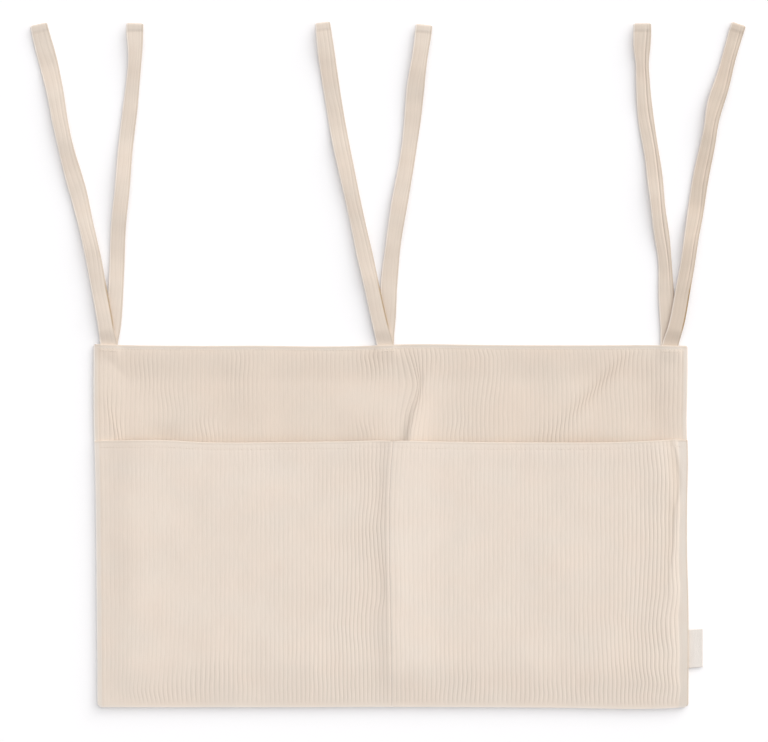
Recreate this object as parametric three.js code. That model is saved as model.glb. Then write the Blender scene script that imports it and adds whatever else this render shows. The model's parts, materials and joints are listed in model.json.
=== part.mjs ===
// Hanging fabric storage bag: a corduroy front with two wide pockets, a cotton lining and three pairs of ties.
// It lies on its back, laid out flat on a surface, with its ties spread above the top seam.
// Lengths are in millimetres: X along the top seam, Y towards the ties, Z up from the surface.
// The origin is the middle of the lining's rear face.
import * as THREE from "three";

// Bag outline
const bagWidth = 600;
const bagHeight = 367;
const bagCornerRadius = 5;
const leastCornerRadius = 1;

// Cloth
const corduroyThickness = 1.2;
const liningThickness = 0.6;
const clothGap = 0.3;

// Seams round the bag, where the edges of the cloth are turned in
const seamAllowance = 7;
const seamStep = 3;

// Pockets
const pocketHeight = 271;
const mouthClearance = 6;
const pocketRamp = 22;
const pocketEdgeInset = 0.6;
const mouthHem = 20;
const hemStep = 1;

// Ties, each a folded strip of corduroy
const tieWidth = 16;
const tieThickness = 3;
const tieEdgeRounding = 0.9;
const frontTieLength = 333;
const rearTieLength = 327;
const tieRootGap = 0.5;
const tieRootTurn = 24;
const crossingLength = 95;
const crossingDrop = 60;

// Where the pairs of ties are sewn in
const leftPairFromSide = 15;
const rightPairFromSide = 18;
const middlePairLeftOfMiddle = 5;

// The front tie of each pair lies on the rear one. Lean is its angle from square to the top seam, in degrees.
// Bow and sway are the sizes of one and of two sideways waves along the tie, as shares of its length.
const tiePairs = [
  {
    side: "left",
    rootX: leftPairFromSide - bagWidth / 2,
    front: { name: "tie_left_outer", length: frontTieLength, lean: -12.5, bow: 0.004, sway: 0.005 },
    rear: { name: "tie_left_inner", length: rearTieLength, lean: 4.5, bow: -0.001, sway: -0.002 },
  },
  {
    side: "middle",
    rootX: -middlePairLeftOfMiddle,
    front: { name: "tie_middle_left", length: frontTieLength, lean: -11.1, bow: -0.019, sway: 0.002 },
    rear: { name: "tie_middle_right", length: rearTieLength, lean: 6.7, bow: -0.009, sway: -0.007 },
  },
  {
    side: "right",
    rootX: bagWidth / 2 - rightPairFromSide,
    front: { name: "tie_right_outer", length: frontTieLength, lean: 12.1, bow: -0.016, sway: 0.008 },
    rear: { name: "tie_right_inner", length: rearTieLength, lean: -4.9, bow: -0.003, sway: 0.011 },
  },
];

// Stitching
const seamThreadWidth = 1;
const topstitchWidth = 0.8;
const topstitchHeight = 0.5;
const topstitchFromEdge = 4;
const mouthStitchFromFold = 7;
const tackWidth = 17;
const tackHeight = 2;
const tackPasses = 9;
const tackFromTopstitch = 1.2;

// Side label, a folded woven loop
const labelLength = 39;
const labelReach = 16.5;
const labelCloth = 0.4;
const labelLoopGap = 0.4;
const labelAboveBottom = 39.5;
const labelRootGap = 0.8;

// Number of straight pieces in each curved stretch
const cornerSteps = 5;
const foldSteps = 4;
const rampSteps = 6;
const tieSteps = 30;
const labelFoldSteps = 5;

// Heights of the stacked cloth
const liningTop = liningThickness;
const liningRimTop = 2 * liningThickness;
const frontUnderside = liningTop + clothGap;
const frontTop = frontUnderside + corduroyThickness;
const frontRimUnderside = liningRimTop + clothGap;
const frontRimTop = frontRimUnderside + 2 * corduroyThickness;
const pocketUnderside = frontTop + mouthClearance + corduroyThickness;

// Edges of the bag
const topEdge = bagHeight / 2;
const bottomEdge = -bagHeight / 2;
const pocketMouth = bottomEdge + pocketHeight;
const dividerHalfGap = seamThreadWidth / 2 + clothGap;

// Finishes
const corduroy = { color: 0xe6d7ca, roughness: 0.95, metalness: 0 };
const cotton = { color: 0xe9dfd3, roughness: 0.9, metalness: 0 };
const thread = { color: 0xe0d1c1, roughness: 0.8, metalness: 0 };
const wovenTape = { color: 0xece5dd, roughness: 0.7, metalness: 0 };

// A smooth rise from 0 to 1 as the share goes from 0 to 1, flat at both ends.
function ease(share) {
  const held = Math.min(Math.max(share, 0), 1);
  return 0.5 - 0.5 * Math.cos(Math.PI * held);
}

// A closed solid through a list of rings that all have the same even number of points.
// Each ring runs round the way ahead by the right-hand rule. A point and its opposite number, counted from
// the ring's other end, face each other across the thin way, so an end is closed by rungs between them.
function loft(rings) {
  const ringSize = rings[0].length;
  const positions = [];
  const addFace = (a, b, c) => positions.push(...a.toArray(), ...b.toArray(), ...c.toArray());
  for (let step = 0; step + 1 < rings.length; step += 1) {
    const near = rings[step];
    const far = rings[step + 1];
    for (let i = 0; i < ringSize; i += 1) {
      const next = (i + 1) % ringSize;
      addFace(near[i], near[next], far[next]);
      addFace(near[i], far[next], far[i]);
    }
  }
  const first = rings[0];
  const last = rings[rings.length - 1];
  for (let i = 0; i + 1 < ringSize / 2; i += 1) {
    const across = ringSize - 1 - i;
    addFace(first[i], first[across], first[across - 1]);
    addFace(first[i], first[across - 1], first[i + 1]);
    addFace(last[i], last[i + 1], last[across - 1]);
    addFace(last[i], last[across - 1], last[across]);
  }
  const geometry = new THREE.BufferGeometry();
  geometry.setAttribute("position", new THREE.Float32BufferAttribute(positions, 3));
  geometry.computeVertexNormals();
  return geometry;
}

// The bag's outline, drawn in by an inset, at one height.
function outlineRing(inset, z) {
  const radius = Math.max(bagCornerRadius - inset, leastCornerRadius);
  const centreX = bagWidth / 2 - inset - radius;
  const centreY = bagHeight / 2 - inset - radius;
  const sides = [
    [1, 1],
    [-1, 1],
    [-1, -1],
    [1, -1],
  ];
  return sides.flatMap(([sideX, sideY], corner) =>
    Array.from({ length: cornerSteps + 1 }, (_, step) => {
      const angle = (corner + step / cornerSteps) * (Math.PI / 2);
      const x = sideX * centreX + radius * Math.cos(angle);
      const y = sideY * centreY + radius * Math.sin(angle);
      return new THREE.Vector3(x, y, z);
    }),
  );
}

// The half-round fold along the bag's outline, from the underside of the cloth to its top.
function foldRings(underside, top) {
  const radius = (top - underside) / 2;
  return Array.from({ length: foldSteps + 1 }, (_, step) => {
    const angle = Math.PI * (step / foldSteps - 0.5);
    const inset = radius * (1 - Math.cos(angle));
    return outlineRing(inset, underside + radius * (1 + Math.sin(angle)));
  });
}

// The lining lies flat on the surface, with its edges turned in on top.
function liningGeometry() {
  return loft([
    ...foldRings(0, liningRimTop),
    outlineRing(seamAllowance, liningRimTop),
    outlineRing(seamAllowance, liningTop),
  ]);
}

// The front panel lies on the lining, with its edges turned in underneath.
function frontPanelGeometry() {
  return loft([
    outlineRing(seamAllowance + seamStep, frontUnderside),
    outlineRing(seamAllowance, frontRimUnderside),
    ...foldRings(frontRimUnderside, frontRimTop),
    outlineRing(seamAllowance, frontRimTop),
    outlineRing(seamAllowance + seamStep, frontTop),
  ]);
}

// Height of the front panel's face at a distance in from the outline.
function frontFace(inset) {
  const share = (inset - seamAllowance) / seamStep;
  return THREE.MathUtils.lerp(frontRimTop, frontTop, Math.min(Math.max(share, 0), 1));
}

// Distances from a sewn line at which the pocket cloth rises off the panel below it.
function rampStops(start) {
  return Array.from({ length: rampSteps }, (_, step) => start + (pocketRamp * (step + 1)) / rampSteps);
}

// Distances in from the bag's edge to the turns of the cloth over a side or bottom seam.
const seamTurns = [pocketEdgeInset, seamAllowance, seamAllowance + seamStep];

// Distances in from the bag's edge for the columns and rows beside a side or bottom seam.
const seamStops = [
  ...seamTurns,
  ...rampStops(seamAllowance).filter((stop) => stop > seamAllowance + seamStep),
];

// Columns of a pocket from the bag's side to the divider, as distances from each of the two.
const pocketSpan = bagWidth / 2 - dividerHalfGap;
const pocketColumns = [
  ...seamStops,
  ...rampStops(0)
    .reverse()
    .map((stop) => pocketSpan - stop),
  pocketSpan,
];

// Rows of a pocket from the bottom seam to the fold of the mouth. The hem is two layers of cloth.
// The pinch draws the two faces together, in a half-round fold at the mouth.
const mouthFoldRows = Array.from({ length: foldSteps }, (_, step) => {
  const angle = (Math.PI / 2) * (step / foldSteps);
  return {
    y: pocketMouth - corduroyThickness * (1 - Math.sin(angle)),
    hem: 1,
    pinch: corduroyThickness * (1 - Math.cos(angle)),
  };
});
const pocketRows = [
  ...seamStops.map((stop) => ({ y: bottomEdge + stop, hem: 0, pinch: 0 })),
  { y: pocketMouth - mouthHem - hemStep, hem: 0, pinch: 0 },
  { y: pocketMouth - mouthHem, hem: 1, pinch: 0 },
  ...mouthFoldRows,
];

// The two faces of the pocket cloth at a distance from the bag's side.
function pocketFaces(fromSide, row) {
  const fromBottom = row.y - bottomEdge;
  const resting = frontFace(Math.min(fromSide, fromBottom)) + clothGap;
  const rise =
    ease((fromSide - seamAllowance) / pocketRamp) *
    ease((pocketSpan - fromSide) / pocketRamp) *
    ease((fromBottom - seamAllowance) / pocketRamp);
  const sheet = THREE.MathUtils.lerp(resting, pocketUnderside, rise);
  const hemLayer = corduroyThickness * row.hem;
  return {
    underside: sheet - hemLayer * rise + row.pinch,
    top: sheet + corduroyThickness + hemLayer * (1 - rise) - row.pinch,
  };
}

// One pocket front, a shell that rests on the panel at its sewn edges and stands clear of it between them.
// Side is -1 for the left pocket and 1 for the right one.
function pocketFrontGeometry(side) {
  const columns = side < 0 ? pocketColumns : [...pocketColumns].reverse();
  const rings = pocketRows.map((row) => {
    const faces = columns.map((fromSide) => ({
      x: side * (bagWidth / 2 - fromSide),
      ...pocketFaces(fromSide, row),
    }));
    const over = faces.map((face) => new THREE.Vector3(face.x, row.y, face.top));
    const under = faces.map((face) => new THREE.Vector3(face.x, row.y, face.underside));
    return [...over, ...under.reverse()];
  });
  return loft(rings);
}

// A line of stitching along X. Each point gives the middle of the thread's underside.
function threadAlongX(points, width, height) {
  const rings = points.map(({ x, y, z }) => [
    new THREE.Vector3(x, y - width / 2, z),
    new THREE.Vector3(x, y + width / 2, z),
    new THREE.Vector3(x, y + width / 2, z + height),
    new THREE.Vector3(x, y - width / 2, z + height),
  ]);
  return loft(rings);
}

// The seam down the middle, which divides the two pockets and lies between their inner edges.
function dividerSeamGeometry() {
  const halfWidth = seamThreadWidth / 2;
  const stops = [...seamTurns, pocketHeight];
  const rings = stops.map((stop) => {
    const y = bottomEdge + stop;
    const z = frontFace(stop) + clothGap;
    return [
      new THREE.Vector3(-halfWidth, y, z + corduroyThickness),
      new THREE.Vector3(halfWidth, y, z + corduroyThickness),
      new THREE.Vector3(halfWidth, y, z),
      new THREE.Vector3(-halfWidth, y, z),
    ];
  });
  return loft(rings);
}

// The stitching that holds the hem of one pocket's mouth.
function mouthStitchGeometry(side) {
  const columns = side < 0 ? pocketColumns : [...pocketColumns].reverse();
  const row = { y: pocketMouth - mouthStitchFromFold, hem: 1, pinch: 0 };
  const points = columns.map((fromSide) => ({
    x: side * (bagWidth / 2 - fromSide),
    y: row.y,
    z: pocketFaces(fromSide, row).top + clothGap,
  }));
  return threadAlongX(points, topstitchWidth, topstitchHeight);
}

// The stitching along the top edge, which closes the seam over the roots of the ties.
function topEdgeStitchGeometry() {
  const halfRun = bagWidth / 2 - topstitchFromEdge;
  const y = topEdge - topstitchFromEdge;
  const z = frontRimTop + clothGap;
  return threadAlongX([-halfRun, halfRun].map((x) => ({ x, y, z })), topstitchWidth, topstitchHeight);
}

// The tack that locks one pair of ties: thread worked to and fro across the seam below their roots.
function tieTackGeometry(pair) {
  const middleY = topEdge - topstitchFromEdge - topstitchWidth - tackFromTopstitch;
  const points = Array.from({ length: tackPasses }, (_, pass) => ({
    x: pair.rootX + tackWidth * (pass / (tackPasses - 1) - 0.5),
    y: middleY + (pass % 2 ? 0.5 : -0.5) * (tackHeight - topstitchWidth),
    z: frontRimTop + clothGap,
  }));
  return threadAlongX(points, topstitchWidth, topstitchHeight);
}

// The middle line of a tie's underside, seen from above and from the side, at a share of its length.
function tiePoint(pair, tie, share, lift) {
  const lean = THREE.MathUtils.degToRad(tie.lean);
  const wave = tie.bow * Math.sin(Math.PI * share) + tie.sway * Math.sin(2 * Math.PI * share);
  const along = tie.length * share;
  const drop = ease((along - crossingLength) / crossingDrop);
  const x = pair.rootX + along * Math.sin(lean) + tie.length * wave;
  const y = topEdge + tieRootGap + along * Math.cos(lean);
  return new THREE.Vector3(x, y, lift * (1 - drop));
}

// A flat ribbon with softened edges. It starts along the seam and turns square to its own run.
// Lift is how high its root lies: 0 for a rear tie, and on top of the rear tie for a front one.
function tieGeometry(pair, tie, lift) {
  const halfWidth = tieWidth / 2;
  const shoulder = halfWidth - tieEdgeRounding;
  const section = [
    [-halfWidth, tieThickness - tieEdgeRounding],
    [-shoulder, tieThickness],
    [shoulder, tieThickness],
    [halfWidth, tieThickness - tieEdgeRounding],
    [halfWidth, tieEdgeRounding],
    [shoulder, 0],
    [-shoulder, 0],
    [-halfWidth, tieEdgeRounding],
  ];
  const alongSeam = new THREE.Vector3(1, 0, 0);
  const rings = Array.from({ length: tieSteps + 1 }, (_, step) => {
    const share = step / tieSteps;
    const halfStep = 0.5 / tieSteps;
    const middle = tiePoint(pair, tie, share, lift);
    const run = tiePoint(pair, tie, share + halfStep, lift).sub(tiePoint(pair, tie, share - halfStep, lift));
    const square = new THREE.Vector3(run.y, -run.x, 0).normalize();
    const turn = ease((share * tie.length) / tieRootTurn);
    const across = alongSeam.clone().lerp(square, turn).normalize();
    return section.map(([aside, up]) => middle.clone().addScaledVector(across, aside).setZ(middle.z + up));
  });
  return loft(rings);
}

// The label is a strip folded double, with its fold outwards and its two ends held in the side seam.
function labelGeometry() {
  const outerRadius = labelCloth + labelLoopGap / 2;
  const innerRadius = labelLoopGap / 2;
  const rootX = bagWidth / 2 + labelRootGap;
  const foldX = bagWidth / 2 + labelReach - outerRadius;
  const middleZ = (liningRimTop + frontRimUnderside) / 2;
  const face = (radius) => {
    const bend = Array.from({ length: labelFoldSteps + 1 }, (_, step) => {
      const angle = Math.PI * (0.5 - step / labelFoldSteps);
      return [foldX + radius * Math.cos(angle), middleZ + radius * Math.sin(angle)];
    });
    return [[rootX, middleZ + radius], ...bend, [rootX, middleZ - radius]];
  };
  const outline = [...face(outerRadius), ...face(innerRadius).reverse()];
  const lowEnd = bottomEdge + labelAboveBottom;
  const ends = [lowEnd, lowEnd + labelLength];
  return loft(ends.map((y) => outline.map(([x, z]) => new THREE.Vector3(x, y, z))));
}

function addPiece(group, name, geometry, finish) {
  const mesh = new THREE.Mesh(geometry, new THREE.MeshStandardMaterial(finish));
  mesh.name = name;
  group.add(mesh);
}

const bag = new THREE.Group();

addPiece(bag, "back_lining", liningGeometry(), cotton);
addPiece(bag, "front_panel", frontPanelGeometry(), corduroy);
addPiece(bag, "pocket_front_left", pocketFrontGeometry(-1), corduroy);
addPiece(bag, "pocket_front_right", pocketFrontGeometry(1), corduroy);
addPiece(bag, "divider_seam", dividerSeamGeometry(), thread);
addPiece(bag, "mouth_stitching_left", mouthStitchGeometry(-1), thread);
addPiece(bag, "mouth_stitching_right", mouthStitchGeometry(1), thread);
addPiece(bag, "top_edge_stitching", topEdgeStitchGeometry(), thread);
addPiece(bag, "side_label", labelGeometry(), wovenTape);

for (const pair of tiePairs) {
  addPiece(bag, pair.front.name, tieGeometry(pair, pair.front, tieThickness + clothGap), corduroy);
  addPiece(bag, pair.rear.name, tieGeometry(pair, pair.rear, 0), corduroy);
  addPiece(bag, "tie_tack_" + pair.side, tieTackGeometry(pair), thread);
}

export default bag;
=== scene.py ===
import json
import math

import bpy
import numpy as np
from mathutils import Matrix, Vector


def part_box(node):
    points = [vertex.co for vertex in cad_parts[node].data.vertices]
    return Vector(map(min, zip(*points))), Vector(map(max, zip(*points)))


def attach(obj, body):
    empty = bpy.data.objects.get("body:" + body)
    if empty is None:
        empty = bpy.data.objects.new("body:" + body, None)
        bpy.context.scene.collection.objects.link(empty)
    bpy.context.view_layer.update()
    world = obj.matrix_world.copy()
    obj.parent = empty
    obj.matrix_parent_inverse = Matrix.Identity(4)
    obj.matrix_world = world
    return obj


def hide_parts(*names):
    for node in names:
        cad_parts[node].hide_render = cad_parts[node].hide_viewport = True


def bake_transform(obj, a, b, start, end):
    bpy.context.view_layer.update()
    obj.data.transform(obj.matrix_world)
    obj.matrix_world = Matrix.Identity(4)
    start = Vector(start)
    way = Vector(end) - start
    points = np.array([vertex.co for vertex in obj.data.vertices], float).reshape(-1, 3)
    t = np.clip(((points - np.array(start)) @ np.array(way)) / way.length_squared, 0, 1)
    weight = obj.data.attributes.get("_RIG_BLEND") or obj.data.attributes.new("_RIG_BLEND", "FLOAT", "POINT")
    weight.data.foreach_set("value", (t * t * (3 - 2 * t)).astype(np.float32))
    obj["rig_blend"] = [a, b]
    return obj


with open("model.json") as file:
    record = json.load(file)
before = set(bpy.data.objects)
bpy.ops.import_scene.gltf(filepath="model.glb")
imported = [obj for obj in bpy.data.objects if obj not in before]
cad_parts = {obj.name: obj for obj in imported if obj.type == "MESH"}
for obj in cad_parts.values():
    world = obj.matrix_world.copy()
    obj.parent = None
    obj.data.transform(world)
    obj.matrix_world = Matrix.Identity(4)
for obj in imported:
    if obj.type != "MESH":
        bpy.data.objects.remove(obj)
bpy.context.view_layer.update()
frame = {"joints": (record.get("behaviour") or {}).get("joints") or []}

# Lengths are in millimetres until a mesh is made: X along the top seam, Y towards the ties, Z up.
MM = 0.001


def box_mm(node):
    low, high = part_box(node)
    return np.array(low) / MM, np.array(high) / MM


# Sizes that come from the frame
front_low, front_high = box_mm("front_panel")
LEFT, BOTTOM = front_low[0], front_low[1]
RIGHT, TOP = front_high[0], front_high[1]
MOUTH = box_mm("pocket_front_left")[1][1]
HALF_DIVIDER = box_mm("pocket_front_right")[0][0]
label_low, label_high = box_mm("side_label")
joint_places = {j["name"]: np.array(j["pos_m"]) / MM for j in frame["joints"]}

# Cloth
CORDUROY = 1.2
LINING = 0.6
SEAM_GAP = 0.3
SEAM_ALLOWANCE = 7
LINING_RIM = 2 * LINING
FRONT_TOP = LINING + SEAM_GAP + CORDUROY
FRONT_RIM_TOP = LINING_RIM + SEAM_GAP + 2 * CORDUROY

# Wales of the front and the pockets
WALE_COLUMNS = 8
WALE_HEIGHT = 0.145
VALLEY_WIDTH = 0.42
FULL_SHADE_WALES = 1.5

# How far the laid cloth lies from the straight outline, as (place along the edge, distance) pairs
TOP_RADIUS = 2.5
BOTTOM_RADIUS = 5
EDGE_REACH = 60
LEFT_EDGE = [(-183, 2.0), (-60, 1.2), (20, 0.4), (70, -0.6), (100, -1.7), (183, -2.0)]
RIGHT_EDGE = [(-183, 1.5), (-70, 1.3), (-25, 0.1), (20, 0.1), (70, 1.0), (106, 0), (140, 0.7)]
RIGHT_EDGE += [(183, 1.0)]
BOTTOM_EDGE = [(-300, 0), (-100, 0), (0, 0.3), (150, -0.4), (270, -1.4), (300, -0.2)]
TOP_EDGE = [(-300, 1.4), (-265, 0.4), (-200, -0.3), (-130, -0.2), (-65, -0.9), (-20, -0.1)]
TOP_EDGE += [(10, 1.2), (40, 1.5), (75, 0.9), (130, 0.4), (200, 0.2), (260, 0.4), (297, -0.2)]

# Painted shade: a thin darker line along the seam that lies under the cloth near the left edge
LEFT_SEAM_LINE = {"from_edge": 6.4, "half": 0.9, "shade": 0.035}


# Curves and fields

UNDULATION_WAVES = 9
RIPPLE_LENGTH = 38
RIPPLE_LAG = 30
GATHER_REACH = 4
GATHER_STEEPNESS = 1.5


def ease(share):
    held = np.clip(share, 0, 1)
    return held * held * (3 - 2 * held)


def rise(value, start, end):
    """0 up to start, and 1 from end on."""
    return ease((np.asarray(value, float) - start) / (end - start))


def bell(distance, half):
    """1 in the middle, falling to 0 on both sides."""
    return np.exp(-((distance / half) ** 2))


def swing(place, length, phase):
    return np.sin(2 * math.pi * place / length + phase)


def curve(points, at):
    """A smooth curve through (place, value) pairs, level beyond its ends."""
    place, value = (np.array(column, float) for column in zip(*points))
    slope = np.gradient(value, place)
    slope[0] = slope[-1] = 0
    at = np.clip(at, place[0], place[-1])
    i = np.clip(np.searchsorted(place, at) - 1, 0, len(place) - 2)
    run = place[i + 1] - place[i]
    t = (at - place[i]) / run
    start = (2 * t**3 - 3 * t**2 + 1) * value[i] + (t**3 - 2 * t**2 + t) * run * slope[i]
    return start + (3 * t**2 - 2 * t**3) * value[i + 1] + (t**3 - t**2) * run * slope[i + 1]


# What a soft patch of cloth changes at its middle
# gain: how much prouder the wales stand
# lean: how the wales slant, to the right upwards where above 0
# aside: how far the wales are drawn to the right
# gather: how far the wales are drawn to the middle from both sides
# ripple: how far the wales snake
# swell: how much higher the cloth lies
# nap and painted light: how much paler or darker the cloth is painted, for the way its pile is brushed and
# as painted light and shade
# slant: how the patch itself slants
def patch(x, y, half_x, half_y, **effects):
    return {"middle": (x, y), "half": (half_x, half_y), **effects}


def in_patch(spot, x, y):
    """Distances from a patch's middle, as shares of its half size, and how much of the patch is felt."""
    up = y - spot["middle"][1]
    aside = x - spot["middle"][0] - spot.get("slant", 0) * up
    aside, up = aside / spot["half"][0], up / spot["half"][1]
    return aside, up, np.exp(-(aside**2) - up**2)


def patch_sum(patches, effect, x, y):
    total = np.zeros_like(x)
    for spot in patches:
        if effect in spot:
            total = total + spot[effect] * in_patch(spot, x, y)[2]
    return total


def wale_shift(patches, x, y):
    """How far the wales are drawn to the right."""
    shift = patch_sum(patches, "aside", x, y)
    shift = shift + patch_sum(patches, "ripple", x, y) * swing(y, RIPPLE_LENGTH, x / RIPPLE_LAG)
    for spot in patches:
        aside, up, felt = in_patch(spot, x, y)
        if "lean" in spot:
            shift = shift + spot["lean"] * spot["half"][1] * up * felt
        if "gather" in spot:
            reach = np.exp(-((aside / GATHER_REACH) ** 2) - up**2)
            shift = shift - spot["gather"] * np.tanh(GATHER_STEEPNESS * aside) * reach
    return shift


def undulation(x, y, seed, size, shortest, longest):
    """Slow random waves that run every way."""
    random = np.random.default_rng(seed)
    total = np.zeros_like(x)
    for _ in range(UNDULATION_WAVES):
        angle, length, phase = random.uniform((0, shortest, 0), (math.pi, longest, 2 * math.pi))
        along = x * math.cos(angle) + y * math.sin(angle)
        total = total + np.cos(2 * math.pi * along / length + phase)
    return size * total / math.sqrt(UNDULATION_WAVES)


def valley(phase):
    """1 in the furrow between two wales, falling to 0 on the wale."""
    return bell(np.sin(math.pi * phase), VALLEY_WIDTH)


def waled(furrow, strength, fade):
    """How high the wales stand on the cloth, and how much of their pale tufts shows; the furrows between are
    darker for bare ground and painted shade.
    """
    relief = WALE_HEIGHT * strength * fade * (1 - furrow)
    return relief, 1 - furrow * fade * np.minimum(strength / FULL_SHADE_WALES, 1)


def from_sides(u):
    return np.minimum(u - LEFT, RIGHT - u)


def left_seam_line(from_edge):
    """How much painted shade darkens the line along the seam under the cloth near the bag's left edge."""
    aside = from_edge - LEFT_SEAM_LINE["from_edge"]
    return LEFT_SEAM_LINE["shade"] * bell(aside, LEFT_SEAM_LINE["half"])


def rounded(u, v):
    """Draws the corners of the bag's outline in to round ones."""
    radius = np.where(v > 0, TOP_RADIUS, BOTTOM_RADIUS)
    middle_v = np.where(v > 0, TOP - radius, BOTTOM + radius)
    middle_u = np.sign(u) * (RIGHT - radius)
    a, b = u - middle_u, v - middle_v
    in_corner = (a * np.sign(u) > 0) & (b * np.sign(v) > 0)
    scale = np.maximum(abs(a), abs(b)) / np.maximum(np.hypot(a, b), 1e-9)
    scale = np.where(in_corner, scale, 1)
    return np.where(in_corner, middle_u + a * scale, u), np.where(in_corner, middle_v + b * scale, v)


def laid(u, v):
    """Moves a point of the straight bag to where the laid cloth has it."""
    x, y = rounded(u, v)
    x = x + curve(LEFT_EDGE, v) * (1 - rise(u, LEFT, LEFT + EDGE_REACH))
    x = x + curve(RIGHT_EDGE, v) * rise(u, RIGHT - EDGE_REACH, RIGHT)
    y = y + curve(BOTTOM_EDGE, u) * (1 - rise(v, BOTTOM, BOTTOM + EDGE_REACH))
    y = y + curve(TOP_EDGE, u) * rise(v, TOP - EDGE_REACH, TOP)
    return x, y


def graded(*spans):
    """Places along an edge from (start, end, step) spans, each with even steps."""
    places = [spans[0][0]]
    for start, end, step in spans:
        count = max(1, round(abs(end - start) / step))
        places += list(np.linspace(start, end, count + 1)[1:])
    return np.array(places)


# Meshes

EDGE_RINGS = 4
THREAD_RADIUS = 0.22
THREAD_SIDES = 8
THREAD_RINGS = 9
THREAD_END = 0.25
THREAD_SWELL = 0.45


def unit(vectors):
    return vectors / np.maximum(np.linalg.norm(vectors, axis=-1, keepdims=True), 1e-12)


def boundary(rows, columns):
    """The grid points round the edge of a grid, as (row, column), anticlockwise seen from its face."""
    loop = [(0, c) for c in range(columns)]
    loop += [(r, columns - 1) for r in range(1, rows)]
    loop += [(rows - 1, c) for c in range(columns - 2, -1, -1)]
    loop += [(r, 0) for r in range(rows - 2, 0, -1)]
    return loop


def grid_faces(index, flip):
    a, b, c, d = index[:-1, :-1], index[:-1, 1:], index[1:, 1:], index[1:, :-1]
    order = (a, d, c, b) if flip else (a, b, c, d)
    return np.stack(order, axis=-1).reshape(-1, 4).tolist()


def joined_faces(last, under_index, loop, step):
    """Joins the last ring round the edge to the underside, which has every step-th column."""
    faces, count = [], len(loop)
    stops = [i for i, (_, column) in enumerate(loop) if column % step == 0]
    for start, stop in zip(stops, [*stops[1:], count]):
        row, column = loop[start]
        next_row, next_column = loop[stop % count]
        near, far = under_index[row, column // step], under_index[next_row, next_column // step]
        middle = (start + stop) // 2
        faces += [(last[i], near, last[(i + 1) % count]) for i in range(start, middle)]
        faces.append((last[middle], near, far))
        faces += [(last[i], far, last[(i + 1) % count]) for i in range(middle, stop)]
    return faces


def shell_faces(face_index, under_index, loop, step):
    """The faces of a closed sheet, and how many of them lie on its face and round its edge."""
    r, c = np.array(loop).T
    rings = [face_index[r, c]]
    rings += [face_index.size + k * len(loop) + np.arange(len(loop)) for k in range(EDGE_RINGS)]
    faces = grid_faces(face_index, False)
    for near, far in zip(rings, rings[1:]):
        quads = (near, far, np.roll(far, -1), np.roll(near, -1))
        faces += np.stack(quads, axis=-1).tolist()
    face_side = len(faces)
    faces += grid_faces(under_index, True)
    return faces + joined_faces(rings[-1], under_index, loop, step), face_side


def smooth_mesh(name, points, faces):
    mesh = bpy.data.meshes.new(name)
    mesh.from_pydata((points * MM).tolist(), [], faces)
    mesh.polygons.foreach_set("use_smooth", [True] * len(faces))
    return mesh


def set_coords(mesh, coords):
    """Lays the cloth's own coordinates, in millimetres, on the mesh as a UV map."""
    corner = np.empty(len(mesh.loops), np.int32)
    mesh.loops.foreach_get("vertex_index", corner)
    layer = mesh.uv_layers.new(name="cloth")
    layer.data.foreach_set("uv", coords[corner].astype(np.float32).ravel())
    mesh.update()


def add_object(name, data):
    piece = bpy.data.objects.new(name, data)
    bpy.context.scene.collection.objects.link(piece)
    return piece


def cloth_shell(name, surface, thickness, relief, shades, coords, step=1, under_relief=None):
    """A closed sheet of cloth below a face given as a grid of points, with half-round edges."""
    shape = surface.shape[:2]
    normal = unit(np.cross(np.gradient(surface, axis=1), np.gradient(surface, axis=0)))
    thick = np.broadcast_to(np.asarray(thickness, float), shape)[..., None]
    face = surface + normal * relief[..., None]
    under = surface - normal * thick
    if under_relief is not None:
        under = under - normal * under_relief[..., None]
    under = under[:, ::step]

    loop = boundary(*shape)
    r, c = np.array(loop).T
    edge, edge_normal, radius = surface[r, c], normal[r, c], thick[r, c] / 2
    tangent = np.roll(edge, -1, axis=0) - np.roll(edge, 1, axis=0)
    outward = unit(np.cross(tangent, edge_normal))
    skirt = []
    for k in range(1, EDGE_RINGS + 1):
        angle = math.pi * k / (EDGE_RINGS + 1)
        down = edge_normal * radius * (1 - math.cos(angle))
        skirt.append(edge - down + outward * radius * math.sin(angle))

    face_index = np.arange(shape[0] * shape[1]).reshape(shape)
    first_under = face_index.size + EDGE_RINGS * len(loop)
    under_index = first_under + np.arange(under.shape[0] * under.shape[1]).reshape(under.shape[:2])
    faces, face_side = shell_faces(face_index, under_index, loop, step)

    def spread(values):
        values = np.broadcast_to(values, shape)
        parts = [values.ravel(), np.tile(values[r, c], EDGE_RINGS), values[:, ::step].ravel()]
        return np.concatenate(parts)

    points = np.concatenate([face.reshape(-1, 3), *skirt, under.reshape(-1, 3)])
    mesh = smooth_mesh(name, points, faces)
    sides = np.zeros(len(faces), np.int32)
    sides[face_side:] = 1
    mesh.polygons.foreach_set("material_index", sides)
    for shade, values in shades.items():
        attribute = mesh.attributes.new(shade, "FLOAT", "POINT")
        attribute.data.foreach_set("value", spread(values).astype(np.float32))
    set_coords(mesh, np.stack([spread(coords[0]), spread(coords[1])], axis=-1))
    return add_object(name, mesh)


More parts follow.
